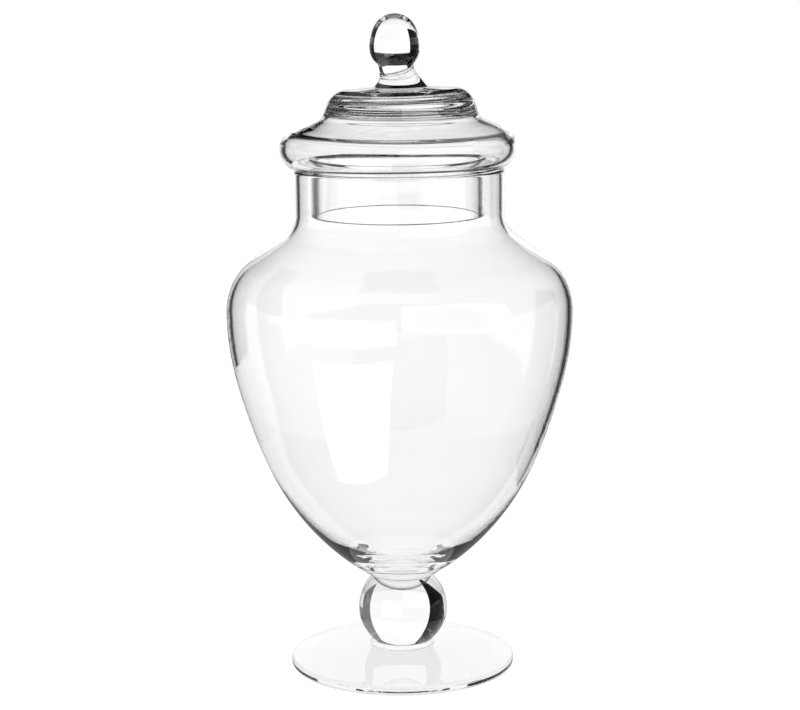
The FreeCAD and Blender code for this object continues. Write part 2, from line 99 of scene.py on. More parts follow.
# %% [markdown]
# ## Drawing an outline
# Blown glass is turned while it is hot, so each piece is half an outline swept round the axis.
# A pen that moves in lines and arcs draws that outline the way the tools shape it: the end of
# one stroke is the start of the next, and an arc leaves in the direction the pen was going.
# A screw modifier could sweep the outline too, but rings made in code can also be given the
# small wobble of a hand-made piece.

# %% The outline pen
STEP = 1.2          # longest stroke between two points, in millimetres


def polar(angle):
    return Vector((math.cos(angle), math.sin(angle)))


class Pen:
    """Draws (radius, height) points. Angles are degrees, counterclockwise, 0 is outwards."""

    def __init__(self, radius, height, heading):
        self.points = [Vector((radius, height))]
        self.heading = heading

    @property
    def at(self):
        return self.points[-1]

    def line(self, length):
        start, way = self.at.copy(), polar(math.radians(self.heading))
        count = max(1, round(length / STEP))
        for k in range(1, count + 1):
            self.points.append(start + way * (length * k / count))
        return self

    def line_to(self, radius, height):
        target = Vector((radius, height))
        way = target - self.at
        self.heading = math.degrees(math.atan2(way.y, way.x))
        return self.line(way.length)

    def arc(self, radius, turn, fine=1.0):
        """Positive turns left, negative turns right."""
        side = 1 if turn > 0 else -1
        centre = self.at + polar(math.radians(self.heading + 90 * side)) * radius
        start = self.at - centre
        length = radius * math.radians(abs(turn))
        count = max(3, round(length / STEP * fine), round(abs(turn) / 8))
        for k in range(1, count + 1):
            spin = Matrix.Rotation(math.radians(turn) * k / count, 2)
            self.points.append(centre + spin @ start)
        self.heading += turn
        return self

    def arc_to(self, radius, height, fine=1.0):
        """An arc that leaves along the heading and ends at the given point."""
        across = Vector((radius, height)) - self.at
        left = polar(math.radians(self.heading + 90))
        reach = across.length_squared / (2 * across.dot(left))
        off = math.degrees(math.atan2(across.y, across.x)) - self.heading
        off = (off + 180) % 360 - 180
        return self.arc(abs(reach), 2 * off, fine)


def soften(before, after, reach):
    """Round the corner where two strokes meet. Each gives up the last stretch before the corner."""
    corner = before[-1].copy()
    head = [p for p in before if (p - corner).length > reach]
    tail = [p for p in after if (p - corner).length > reach]
    start, end = head[-1], tail[0]
    curve, steps = [], 12
    for k in range(1, steps):
        t = k / steps
        curve.append(start * (1 - t) ** 2 + corner * 2 * t * (1 - t) + end * t ** 2)
    return head + curve[:6], curve[5:] + tail


# %% [markdown]
# ## Turning an outline into glass
# Light bends at every skin of the glass, so each piece needs a real thickness: the outline is a
# closed loop, outer skin and inner skin. Where two pieces were fused hot there is no skin at all.
# Those stretches of the outline are marked as a weld and get a clear material later.
# The hand of the maker shows as a slow wobble round the piece and as a slight lean.

# %% Sweep a closed outline round the axis
SEGMENTS = 256
SHARP = math.radians(28)           # a steeper fold than this stays a crisp edge
OPEN, WELD, SPECIAL = 0, 1, 2      # which of a piece's materials a stretch of its outline gets


def lathe(name, strokes, shape, segments=SEGMENTS):
    """strokes: list of (points, skin) that together close the outline. shape moves a point."""
    ring_points, skins = [], []
    for points, skin in strokes:
        for k, point in enumerate(points):
            if ring_points and (point - ring_points[-1]).length < 1e-4:
                continue
            if ring_points:
                skins.append(skin)
            ring_points.append(point)
    closed = (ring_points[0] - ring_points[-1]).length < 1e-4
    if closed:
        ring_points.pop()
    else:
        on_axis = ring_points[0].x < 1e-4 and ring_points[-1].x < 1e-4
        if not on_axis:
            raise ValueError(name + ": the outline neither closes nor ends on the axis")
    mesh = bmesh.new()
    rings = []
    for point in ring_points:
        if point.x < 1e-4:
            rings.append([mesh.verts.new(shape(Vector((0, 0, point.y * MM))))])
            continue
        ring = []
        for k in range(segments):
            angle = 2 * math.pi * k / segments
            spot = Vector((point.x * math.cos(angle), point.x * math.sin(angle), point.y)) * MM
            ring.append(mesh.verts.new(shape(spot)))
        rings.append(ring)
    pairs = list(zip(rings, rings[1:]))
    if closed:
        pairs.append((rings[-1], rings[0]))
    for (here, there), skin in zip(pairs, skins):
        for k in range(segments):
            n = (k + 1) % segments
            if len(here) == 1 and len(there) == 1:
                break
            if len(here) == 1:
                face = mesh.faces.new((here[0], there[k], there[n]))
            elif len(there) == 1:
                face = mesh.faces.new((here[k], there[0], here[n]))
            else:
                face = mesh.faces.new((here[k], there[k], there[n], here[n]))
            face.material_index = skin
            face.smooth = skin != WELD
    bmesh.ops.recalc_face_normals(mesh, faces=mesh.faces)
    for edge in mesh.edges:
        edge.smooth = edge.calc_face_angle(0) < SHARP
    data = bpy.data.meshes.new(name)
    mesh.to_mesh(data)
    mesh.free()
    data.validate()
    piece = bpy.data.objects.new(name, data)
    bpy.context.scene.collection.objects.link(piece)
    print(name, len(ring_points), "rings,", len(data.polygons), "faces")
    return piece


# %% [markdown]
# ## The maker's hand
# One function moves every point of the jar and one every point of the lid. Pieces that share an
# edge share the function, so their seams stay shut.

# %% Wobble and lean
def smooth_step(low, high, value):
    t = min(1, max(0, (value - low) / (high - low)))
    return t * t * (3 - 2 * t)


NECK_SHIFT, BALL_SHIFT = 0.5, 0.5       # sideways, in millimetres
OVAL, THREE_SIDED = 0.10, 0.07          # how far the bowl is out of round, in millimetres


def jar_hand(spot):
    height = spot.z / MM
    radius = math.hypot(spot.x, spot.y)
    neck = NECK_SHIFT * smooth_step(250, 275, height)
    ball = BALL_SHIFT * smooth_step(16, 26, height) * (1 - smooth_step(44, 56, height))
    aside = (neck + ball) * MM
    if radius < 1e-7:
        return Vector((spot.x + aside, spot.y, spot.z))
    angle = math.atan2(spot.y, spot.x)
    body = smooth_step(60, 110, height) * (1 - smooth_step(250, 285, height))
    wobble = body * (OVAL * math.cos(2 * angle + 0.7) + THREE_SIDED * math.cos(3 * angle - 1.1)) * MM
    # The whole bowl is drawn in a little, so that the wobble doesn't make it wider than it is.
    squeeze = 1 + (wobble - OVAL * MM * body) / radius
    return Vector((spot.x * squeeze + aside, spot.y * squeeze, spot.z))


LID_LEAN = math.radians(1.0)
RIM_SHIFT, TIER_SHIFT, KNOB_SHIFT = -0.5, 1.7, -1.6      # sideways, in millimetres


def lid_hand(spot):
    """Shifts blend from rim to tier to grip. Only the crown leans, so the rim rests level."""
    height = spot.z / MM
    slope = smooth_step(325, 336, height)
    upper = smooth_step(341, 350, height)
    knob = smooth_step(crown_height + 2, knob_low_height + 4, height)
    shift = RIM_SHIFT + (TIER_SHIFT - RIM_SHIFT) * slope + (KNOB_SHIFT - TIER_SHIFT) * knob
    lift = math.tan(LID_LEAN) * spot.x * upper * (1 - knob)
    return Vector((spot.x + shift * MM, spot.y, spot.z + lift))


# %% [markdown]
# ## Foot, button and ball
# The foot is a disc cast from a gather and spun flat: thin at the rim, thicker in the middle, its
# edge rounded by the fire. A small button of glass joins it to the solid ball of the stem.
# A bevelled cylinder would give the rim but not the slope above it, so the outline is drawn.

# %% Make the foot
BUTTON_ROUNDING = 1.2
STEM_FLAT = merese_radius - BUTTON_ROUNDING
FOOT_EDGE, FOOT_ROUNDING = 5.5, 2.0
GROUND_RADIUS = 56      # inside this radius the underside is ground flat and touches the table

pen = Pen(0, 0, 0)
pen.line(foot_radius - FOOT_ROUNDING).arc(FOOT_ROUNDING, 90, 3).line(FOOT_EDGE - 2 * FOOT_ROUNDING)
rim_turn = 90 - math.degrees(math.atan2(foot_top - FOOT_EDGE, foot_radius - merese_radius))
pen.arc(FOOT_ROUNDING, rim_turn, 3).line_to(STEM_FLAT, foot_top)
foot_skin = pen.points
foot_weld = [Vector((STEM_FLAT, foot_top)), Vector((0, foot_top))]
foot = lathe("spun_foot", [(foot_skin, OPEN), (foot_weld, WELD)], jar_hand)
for face in foot.data.polygons:
    if face.center.z < 0.05 * MM and math.hypot(face.center.x, face.center.y) < GROUND_RADIUS * MM:
        face.material_index = SPECIAL

# %% Make the button
pen = Pen(STEM_FLAT, foot_top, 0).arc(BUTTON_ROUNDING, 90, 4)
pen.line(merese_top - foot_top - 2 * BUTTON_ROUNDING).arc(BUTTON_ROUNDING, 90, 4)
merese = lathe(
    "button",
    [([Vector((0, foot_top)), Vector((STEM_FLAT, foot_top))], WELD), (pen.points, OPEN),
     ([Vector((STEM_FLAT, merese_top)), Vector((0, merese_top))], WELD)],
    jar_hand)

# %% [markdown]
# The ball is solid. While both were hot the bowl's tip was pressed into its top, and the hollow
# that this left is drawn as a socket. Its skin is special: the joint shows as a fine line.

# %% Make the ball
WAIST_RADIUS = 17.9
ball_centre = Vector((0, merese_top + math.sqrt(knop_radius ** 2 - STEM_FLAT ** 2)))
start = math.degrees(math.atan2(merese_top - ball_centre.y, STEM_FLAT))
end = math.degrees(math.atan2(waist_height - ball_centre.y, WAIST_RADIUS))
pen = Pen(STEM_FLAT, merese_top, start + 90).arc(knop_radius, end - start, 1.5)
waist = Vector((WAIST_RADIUS, waist_height))
pen.points[-1] = waist
tip = Vector((0, tip_height))
tip_radius = (WAIST_RADIUS ** 2 + (waist_height - tip_height) ** 2) / (2 * (waist_height - tip_height))
socket = Pen(WAIST_RADIUS, waist_height, 0)
socket_start = math.degrees(math.atan2(waist_height - (tip_height + tip_radius), WAIST_RADIUS))
socket.heading = socket_start - 90
socket.arc(tip_radius, -90 - socket_start)
socket.points[-1] = tip
knop = lathe(
    "ball",
    [([Vector((0, merese_top)), Vector((STEM_FLAT, merese_top))], WELD), (pen.points, OPEN),
     (socket.points, SPECIAL)],
    jar_hand)

# %% [markdown]
# ## The bowl
# A straight neck, a sloping shoulder, a round body that draws in to a thick tip. The wall is
# about three millimetres and thickens towards the tip, where the inside turns down into a small
# well. That thick glass is what gathers the dark streaks over the stem. A sphere could be
# sculpted into this shape, but arcs with shared centres keep the wall even down to the tip.

# %% Draw one skin of the bowl
NECK_RADIUS = 63.8
WALL = 3.0
WIDEST = 224.0
NECK_FILLET, SHOULDER_SLOPE, SHOULDER_ROUND = 15.7, 36.5, 40.0
SIDE_ROUND, SIDE_END, FLANK_ROUND, FLANK_END = 170.3, 182.7, 331.4, 127.7
THROAT = Vector((19.0, 68.0))
CAVITY_BOTTOM = 50.0
THIN_END = 86.0         # the wall stays thin down to here, then thickens into the tip
THIN_END_EXTRA = 0.8    # how much thicker than the wall it is there
THROAT_REACH = 5.0      # how far from its corner the throat begins to round
LIP_ROUND = 1.4

slope = math.radians(SHOULDER_SLOPE)
slope_out = Vector((math.sin(slope), math.cos(slope)))
shoulder_centre = Vector((bowl_radius - SHOULDER_ROUND, WIDEST))
fillet_x = NECK_RADIUS + NECK_FILLET
fillet_y = (slope_out.dot(shoulder_centre) + SHOULDER_ROUND + NECK_FILLET
            - slope_out.x * fillet_x) / slope_out.y
slope_length = (Vector((fillet_x, fillet_y)) - slope_out * NECK_FILLET
                - shoulder_centre - slope_out * SHOULDER_ROUND).length
side_turn = math.degrees(math.asin((WIDEST - SIDE_END) / SIDE_ROUND))
side_end = Vector((bowl_radius - SIDE_ROUND + SIDE_ROUND * math.cos(math.radians(side_turn)), SIDE_END))
flank_centre = side_end + (Vector((bowl_radius - SIDE_ROUND, WIDEST)) - side_end) / SIDE_ROUND * FLANK_ROUND
flank_turn = math.degrees(math.asin((flank_centre.y - FLANK_END) / FLANK_ROUND)) - side_turn


def bowl_skin(inset):
    """The neck, shoulder, side and flank, the given inset inside the outer skin."""
    pen = Pen(NECK_RADIUS - inset, mouth_height - LIP_ROUND, -90)
    pen.line(mouth_height - LIP_ROUND - fillet_y)
    pen.arc(NECK_FILLET + inset, 90 - SHOULDER_SLOPE)
    pen.line(slope_length)
    pen.arc(SHOULDER_ROUND - inset, -(90 - SHOULDER_SLOPE))
    pen.arc(SIDE_ROUND - inset, -side_turn)
    pen.arc(FLANK_ROUND - inset, -flank_turn)
    return pen


outer = bowl_skin(0)
outer.arc_to(WAIST_RADIUS, waist_height)
inner = bowl_skin(WALL)
low_wall = [k for k, p in enumerate(outer.points) if p.y < THIN_END][0]
along = (outer.points[low_wall + 1] - outer.points[low_wall - 1]).normalized()
thin_end = outer.points[low_wall] + Vector((along.y, -along.x)) * (WALL + THIN_END_EXTRA)
inner.arc_to(thin_end.x, thin_end.y).arc_to(THROAT.x, THROAT.y)
well_radius = (THROAT.x ** 2 + (THROAT.y - CAVITY_BOTTOM) ** 2) / (2 * (THROAT.y - CAVITY_BOTTOM))
well = Pen(THROAT.x, THROAT.y, 0)
well_start = math.degrees(math.atan2(THROAT.y - (CAVITY_BOTTOM + well_radius), THROAT.x))
well.heading = well_start - 90
well.arc(well_radius, -90 - well_start)
well.points[-1] = Vector((0, CAVITY_BOTTOM))
inner_skin, well_skin = soften(inner.points, well.points, THROAT_REACH)
lip = Pen(NECK_RADIUS, mouth_height - LIP_ROUND, 90)
lip.arc(LIP_ROUND, 90, 4).line(WALL - 2 * LIP_ROUND).arc(LIP_ROUND, 90, 4)
print("thin wall ends at", thin_end, "heading", inner.heading)
print("bowl ends", outer.at, "throat", inner.at, "lip", lip.at)

# %% Make the bowl
bowl = lathe(
    "blown_bowl",
    [(list(reversed(socket.points)), WELD), (list(reversed(outer.points)), OPEN),
     (lip.points, OPEN), (inner_skin, OPEN), (well_skin, OPEN)],
    jar_hand)

# %% [markdown]
# ## The lid
# A thick solid crown, an upper tier, a sloping top and a hollow rolled rim that rests on the
# mouth. A tube, cut flat, hangs into the neck to keep the lid in place. Cutting the hollow out
# with a boolean would leave untidy edges, so the outline runs outside and inside in one loop.

# %% Draw the lid's skins
RIM_ROUND, RIM_SLOPE, LID_WALL = 12.2, 24.0, 3.6
TIER_STEP, TIER_FLARE, TIER_FILLET = 24.2, 21.0, 3.0
CROWN_ROUND, CROWN_SLOPE, CROWN_THICK, CEILING_ROUND = 12.5, 4.0, 14.5, 6.0
COLLAR_CHAMFER = 0.4

tier_radius = rim_radius - TIER_STEP
rim_centre = Vector((rim_radius - RIM_ROUND, 0))
rim_centre.y = crease_height + math.sqrt(RIM_ROUND ** 2 - (rim_centre.x - collar_radius) ** 2)


def facing(degrees, upright=False):
    """Which way a surface faces that is so many degrees off level, or off upright."""
    a = math.radians(degrees)
    return Vector((math.cos(a), math.sin(a))) if upright else Vector((math.sin(a), math.cos(a)))


rim_out, crown_out = facing(RIM_SLOPE), facing(CROWN_SLOPE)
tier_out = facing(TIER_FLARE, upright=True)
rim_line = rim_out.dot(rim_centre) + RIM_ROUND
tier_low = Vector((tier_radius, (rim_line + TIER_FILLET - TIER_FILLET * rim_out.dot(tier_out)
                                 - rim_out.x * tier_radius) / rim_out.y))
tier_centre = tier_low + tier_out * TIER_FILLET
crown_flat = Vector((finial_foot_radius, crown_height))
side_off = tier_out.dot(tier_low) - CROWN_ROUND
top_off = crown_out.dot(crown_flat) - CROWN_ROUND
cross = tier_out.x * crown_out.y - tier_out.y * crown_out.x
corner = Vector(((side_off * crown_out.y - top_off * tier_out.y) / cross,
                 (tier_out.x * top_off - crown_out.x * side_off) / cross))
crease = Vector((collar_radius, crease_height))
crease_angle = math.degrees(math.atan2(crease.y - rim_centre.y, crease.x - rim_centre.x))


def lid_side(pen, inset):
    """From the tier's side down over the fillet, the slope and the rolled rim."""
    low = tier_centre - tier_out * (TIER_FILLET + inset)
    pen.line_to(low.x, low.y)
    pen.arc(TIER_FILLET + inset, 90 - RIM_SLOPE - TIER_FLARE, 2)
    start = rim_centre + rim_out * (RIM_ROUND - inset)
    pen.line_to(start.x, start.y)
    pen.heading = -RIM_SLOPE
    pen.arc(RIM_ROUND - inset, crease_angle - (90 - RIM_SLOPE), 1.5)
    return pen


outer = Pen(finial_foot_radius, crown_height, -CROWN_SLOPE)
corner_high = corner + crown_out * CROWN_ROUND
outer.line_to(corner_high.x, corner_high.y)
outer.arc(CROWN_ROUND, -(90 - CROWN_SLOPE - TIER_FLARE), 1.5)
lid_side(outer, 0)
outer.points[-1] = crease.copy()

ceiling = crown_height - CROWN_THICK
hollow_y = ceiling - CEILING_ROUND
hollow_x = (tier_out.dot(tier_low) - LID_WALL - CEILING_ROUND - tier_out.y * hollow_y) / tier_out.x
inner = Pen(0, ceiling, 0).line(hollow_x).arc(CEILING_ROUND, -(90 - TIER_FLARE), 2)
lid_side(inner, LID_WALL)
inner.arc(LID_WALL, 180 - math.degrees(math.atan2(rim_centre.y - crease.y, rim_centre.x - crease.x)), 3)
inner.points[-1] = Vector((collar_radius - LID_WALL, crease_height))
print("rim centre", rim_centre, "tier", tier_low, "corner", corner, "inner end", inner.at)

# %% Make the lid's cover and collar
crown_pad = [Vector((0, crown_height)), crown_flat]
lid_cover = lathe(
    "lid_dome",
    [(crown_pad, WELD), (outer.points, OPEN), ([crease, inner.at], WELD),
     (list(reversed(inner.points)), OPEN)],
    lid_hand)
rim_low = min(spot.co.z for spot in lid_cover.data.vertices) / MM
print("the rim's lowest point is", round(rim_low - mouth_height, 2), "mm above the lip")
inside = collar_radius - LID_WALL
pen = Pen(collar_radius, crease_height, -90).line(crease_height - collar_low - COLLAR_CHAMFER)
pen.line_to(collar_radius - COLLAR_CHAMFER, collar_low).line_to(inside + COLLAR_CHAMFER, collar_low)
pen.line_to(inside, collar_low + COLLAR_CHAMFER).line_to(inside, crease_height)
lid_collar = lathe(
    "lid_tube",
    [(pen.points, OPEN), ([Vector((inside, crease_height)), crease], WELD)],
    lid_hand)

# %% [markdown]
# ## The finial
# A drawn stem spreads on to the crown, and an egg-shaped grip sits on it. A stretched sphere is
# alike at both ends, so the grip is three arcs that run on into each other.

# %% Make the stem and the grip
KNOB_LOW_ROUND, KNOB_SIDE_ROUND, KNOB_RISE = 14.8, 25.5, 10.9
knob_foot = knob_radius - KNOB_LOW_ROUND + math.sqrt(KNOB_LOW_ROUND ** 2 - KNOB_RISE ** 2)
pen = Pen(knob_foot, knob_low_height, -90).arc_to(finial_foot_radius, crown_height, 2)
pen.points[-1] = crown_flat.copy()
knob_pad = [Vector((0, knob_low_height)), Vector((knob_foot, knob_low_height))]
finial_neck = lathe(
    "finial_stem",
    [(knob_pad, WELD), (pen.points, OPEN), (list(reversed(crown_pad)), WELD)],
    lid_hand)
rise = knob_top_height - knob_low_height - KNOB_RISE
side_x = knob_radius - KNOB_SIDE_ROUND
cap_radius = (KNOB_SIDE_ROUND ** 2 - side_x ** 2 - rise ** 2) / (2 * (KNOB_SIDE_ROUND - rise))
cap_angle = math.degrees(math.atan2(rise - cap_radius, -side_x))
low_angle = math.degrees(math.asin(KNOB_RISE / KNOB_LOW_ROUND))
pen = Pen(knob_foot, knob_low_height, 90 - low_angle)
pen.arc(KNOB_LOW_ROUND, low_angle, 2).arc(KNOB_SIDE_ROUND, cap_angle, 2)
pen.arc(cap_radius, 90 - cap_angle, 2)
print("knob top", pen.at, "wanted", knob_top_height)
pen.points[-1] = Vector((0, knob_top_height))
finial_knob = lathe(
    "finial_egg", [(knob_pad, WELD), (pen.points, OPEN)], lid_hand)

# %% [markdown]
# ## The glass
# Clear glass is all bending and mirroring, so its shader is plain and its detail lies in the skin:
# slow ripples from the blowing, fine rings from turning against wet wood, and a trace of haze.
# A painted skin could carry such marks too, but noise worked out in the shader has no seams
# and follows any shape. Shade is painted shade that darkens the glass's colour, used where the glass is
# thick.

# %% The skin shared by every kind of glass
def skin_group():
    group = bpy.data.node_groups.new("blown_skin", "ShaderNodeTree")
    face = group.interface
    for name, value in (("Ripple Size", 12.0), ("Ripple Depth", 0.5), ("Ring Depth", 0.3), ("Haze", 0.01),
                        ("Shade", 1.0)):
        socket = face.new_socket(name=name, in_out="INPUT", socket_type="NodeSocketFloat")
        socket.default_value = value
    face.new_socket(name="Color", in_out="OUTPUT", socket_type="NodeSocketColor")
    face.new_socket(name="Roughness", in_out="OUTPUT", socket_type="NodeSocketFloat")
    face.new_socket(name="Height", in_out="OUTPUT", socket_type="NodeSocketFloat")
    nodes, links = group.nodes, group.links
    inlet, outlet = nodes.new("NodeGroupInput"), nodes.new("NodeGroupOutput")
    place = nodes.new("ShaderNodeTexCoord")
    ripple = nodes.new("ShaderNodeTexNoise")
    ripple.inputs["Detail"].default_value = 1.0
    links.new(place.outputs["Object"], ripple.inputs["Vector"])
    links.new(inlet.outputs["Ripple Size"], ripple.inputs["Scale"])
    squash = nodes.new("ShaderNodeMapping")
    squash.inputs["Scale"].default_value = (6, 6, 240)
    links.new(place.outputs["Object"], squash.inputs["Vector"])
    rings = nodes.new("ShaderNodeTexNoise")
    rings.inputs["Scale"].default_value = 1.0
    rings.inputs["Detail"].default_value = 1.0
    links.new(squash.outputs["Vector"], rings.inputs["Vector"])
    deep = nodes.new("ShaderNodeMath")
    deep.operation = "MULTIPLY"
    links.new(ripple.outputs["Fac"], deep.inputs[0])
    links.new(inlet.outputs["Ripple Depth"], deep.inputs[1])
    both = nodes.new("ShaderNodeMath")
    both.operation = "MULTIPLY_ADD"
    links.new(rings.outputs["Fac"], both.inputs[0])
    links.new(inlet.outputs["Ring Depth"], both.inputs[1])
    links.new(deep.outputs[0], both.inputs[2])
    links.new(both.outputs[0], outlet.inputs["Height"])
    smear = nodes.new("ShaderNodeTexNoise")
    smear.inputs["Scale"].default_value = 30.0
    smear.inputs["Detail"].default_value = 3.0
    links.new(place.outputs["Object"], smear.inputs["Vector"])
    haze = nodes.new("ShaderNodeMath")
    haze.operation = "MULTIPLY"
    links.new(smear.outputs["Fac"], haze.inputs[0])
    links.new(inlet.outputs["Haze"], haze.inputs[1])
    links.new(haze.outputs[0], outlet.inputs["Roughness"])
    tint = nodes.new("ShaderNodeMix")
    tint.data_type = "RGBA"
    links.new(smear.outputs["Fac"], tint.inputs["Factor"])
    tint.inputs["A"].default_value = (0.985, 0.99, 0.99, 1)
    tint.inputs["B"].default_value = (1, 1, 1, 1)
    # Painted shade: the colour is scaled down by Shade.
    painted_darkening = nodes.new("ShaderNodeVectorMath")
    painted_darkening.operation = "SCALE"
    links.new(tint.outputs["Result"], painted_darkening.inputs[0])
    links.new(inlet.outputs["Shade"], painted_darkening.inputs["Scale"])
    links.new(painted_darkening.outputs["Vector"], outlet.inputs["Color"])
    return group


blown_skin = skin_group()
print("inputs", [s.name for s in blown_skin.interface.items_tree])


# %% [markdown]
# Three finishes go with the clear glass. A weld is where two pieces were fused, so it has no
# skin and light passes. The seam is the joint round the bowl's tip, which shows only where it
# is seen edge on. The ground underside stands on the table and hardly bends light there, which
# keeps the foot pale.

# %% Make a glass and a weld
GLASS_BEND = 1.51       # how strongly soda-lime glass bends light
CONTACT_BEND = 1.01     # almost none, where ground glass touches the table


def clear_glass(name, ripple_size, ripple_depth, ring_depth, haze, bump, painted_shade=1.0):
    material = bpy.data.materials.new(name)
    material.use_nodes = True
    nodes, links = material.node_tree.nodes, material.node_tree.links
    shader, out = nodes["Principled BSDF"], nodes["Material Output"]
    shader.inputs["Transmission Weight"].default_value = 1.0
    shader.inputs["Metallic"].default_value = 0.0
    shader.inputs["IOR"].default_value = GLASS_BEND
    skin = nodes.new("ShaderNodeGroup")
    skin.node_tree = blown_skin
    for word, value in (("Ripple Size", ripple_size), ("Ripple Depth", ripple_depth),
                        ("Ring Depth", ring_depth), ("Haze", haze), ("Shade", painted_shade)):
        skin.inputs[word].default_value = value
    links.new(skin.outputs["Color"], shader.inputs["Base Color"])
    links.new(skin.outputs["Roughness"], shader.inputs["Roughness"])
    relief = nodes.new("ShaderNodeBump")
    relief.inputs["Strength"].default_value = 1.0
    relief.inputs["Distance"].default_value = bump
    links.new(skin.outputs["Height"], relief.inputs["Height"])
    links.new(relief.outputs["Normal"], shader.inputs["Normal"])
    # Lamps shine through the glass and leave the table clean.
    path = nodes.new("ShaderNodeLightPath")
    clear = nodes.new("ShaderNodeBsdfTransparent")
    mix = nodes.new("ShaderNodeMixShader")
    links.new(path.outputs["Is Shadow Ray"], mix.inputs["Fac"])
    links.new(shader.outputs["BSDF"], mix.inputs[1])
    links.new(clear.outputs["BSDF"], mix.inputs[2])
    links.new(mix.outputs["Shader"], out.inputs["Surface"])
    return material


def weld_glass():
    """No skin at all: two pieces fused into one."""
    material = bpy.data.materials.new("weld")
    material.use_nodes = True
    nodes, links = material.node_tree.nodes, material.node_tree.links
    shader = nodes["Principled BSDF"]
    shader.inputs["Alpha"].default_value = 0.0
    skin = nodes.new("ShaderNodeGroup")
    skin.node_tree = blown_skin
    links.new(skin.outputs["Color"], shader.inputs["Base Color"])
    links.new(skin.outputs["Roughness"], shader.inputs["Roughness"])
    return material


def seam_glass():
    """The joint round the tip: clear face on, a thin grey line where it is seen edge on."""
    material = weld_glass()
    material.name = "seam"
    nodes, links = material.node_tree.nodes, material.node_tree.links
    nodes["Principled BSDF"].inputs["Specular IOR Level"].default_value = 0.0
    edge = nodes.new("ShaderNodeLayerWeight")
    edge.inputs["Blend"].default_value = 0.5
    line = nodes.new("ShaderNodeMapRange")
    line.inputs["From Min"].default_value = 0.55
    line.inputs["From Max"].default_value = 0.95
    line.inputs["To Max"].default_value = 0.8
    links.new(edge.outputs["Facing"], line.inputs["Value"])
    links.new(line.outputs["Result"], nodes["Principled BSDF"].inputs["Alpha"])
    grey = nodes.new("ShaderNodeMix")
    grey.data_type = "RGBA"
    grey.inputs["A"].default_value = (0.02, 0.02, 0.02, 1)
    grey.inputs["B"].default_value = (0.2, 0.2, 0.2, 1)
    speck = nodes.new("ShaderNodeTexNoise")
    speck.inputs["Scale"].default_value = 300.0
    links.new(speck.outputs["Fac"], grey.inputs["Factor"])
    links.new(grey.outputs["Result"], nodes["Principled BSDF"].inputs["Base Color"])
    return material


# %% Mix the glasses
weld = weld_glass()
# The last numbers, 0.87 here and 0.92 for the foot glass, are painted shade that darkens the colour.
ground = clear_glass("ground_underside", 40, 0.4, 0.1, 0.4, 0.0002, 0.87)
ground.node_tree.nodes["Principled BSDF"].inputs["IOR"].default_value = CONTACT_BEND
seam = seam_glass()
glasses = {
    "foot_glass": clear_glass("foot_glass", 9, 0.5, 0.05, 0.004, 0.0002, 0.92),
    "stem_glass": clear_glass("stem_glass", 20, 0.3, 0.1, 0.003, 0.0001),
    "bowl_glass": clear_glass("bowl_glass", 7, 0.6, 0.12, 0.003, 0.0002),
    "lid_glass": clear_glass("lid_glass", 14, 0.5, 0.02, 0.003, 0.0002),
    "finial_glass": clear_glass("finial_glass", 25, 0.3, 0.1, 0.003, 0.0001),
}
print("glasses", sorted(glasses))

# %% Dress the pieces and put them on their bodies
for piece, node, slot, body in (
    (foot, "foot", "foot_glass", "jar"), (merese, "merese", "stem_glass", "jar"),
    (knop, "knop", "stem_glass", "jar"), (bowl, "bowl", "bowl_glass", "jar"),
    (lid_cover, "lid_cover", "lid_glass", "lid"), (lid_collar, "lid_collar", "lid_glass", "lid"),
    (finial_neck, "finial_neck", "finial_glass", "lid"),
    (finial_knob, "finial_knob", "finial_glass", "lid"),
):
    piece.data.materials.append(glasses[slot])
    piece.data.materials.append(weld)
    if piece is foot:
        piece.data.materials.append(ground)
    if piece is knop:
        piece.data.materials.append(seam)
    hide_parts(node)
    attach(piece, body)

# %% [markdown]
# ## The table and the light
# A pale table that runs out of sight. It glows evenly, like the light tables used for glass, so
# the foot is lit from below and no shadow muddies it. White paint would need strong lamps, and
# glass would show each of them.

# %% Make the table
table_mesh = bmesh.new()
bmesh.ops.create_grid(table_mesh, x_segments=8, y_segments=8, size=30)
table_data = bpy.data.meshes.new("table")
table_mesh.to_mesh(table_data)
table_mesh.free()
table = bpy.data.objects.new("table", table_data)
table.location.z = -0.4 * MM       # just below the foot, so the two never share a face
bpy.context.scene.collection.objects.link(table)

# %% [markdown]
# The glow is even for the eye. In a mirror it is dimmer, which keeps the glass's own reflections
# of the table faint. A mirrored ray is one that is glossy and didn't come through glass.

# %% Make it glow
MIRRORED_TABLE = 0.3      # the share of the glow that a mirror shows
paper = bpy.data.materials.new("light_table")
paper.use_nodes = True
pn, pl = paper.node_tree.nodes, paper.node_tree.links
paper_shader = pn["Principled BSDF"]
paper_shader.inputs["Base Color"].default_value = (0, 0, 0, 1)
paper_shader.inputs["Specular IOR Level"].default_value = 0.0
paper_shader.inputs["Emission Color"].default_value = (1, 1, 1, 1)
fibre = pn.new("ShaderNodeTexNoise")
fibre.inputs["Scale"].default_value = 400
glow = pn.new("ShaderNodeMapRange")
glow.inputs["To Min"].default_value = 1.01
glow.inputs["To Max"].default_value = 1.05
pl.new(fibre.outputs["Fac"], glow.inputs["Value"])
table_path = pn.new("ShaderNodeLightPath")
only_mirrored = pn.new("ShaderNodeMath")
only_mirrored.operation = "SUBTRACT"
only_mirrored.use_clamp = True
pl.new(table_path.outputs["Is Glossy Ray"], only_mirrored.inputs[0])
pl.new(table_path.outputs["Is Transmission Ray"], only_mirrored.inputs[1])
mirrored = pn.new("ShaderNodeMapRange")
mirrored.inputs["To Min"].default_value = 1.0
mirrored.inputs["To Max"].default_value = MIRRORED_TABLE
pl.new(only_mirrored.outputs[0], mirrored.inputs["Value"])
dimmed = pn.new("ShaderNodeMath")
dimmed.operation = "MULTIPLY"
pl.new(glow.outputs["Result"], dimmed.inputs[0])
pl.new(mirrored.outputs["Result"], dimmed.inputs[1])
pl.new(dimmed.outputs[0], paper_shader.inputs["Emission Strength"])
table_data.materials.append(paper)
print("table at", table.location.z / MM, "mm")

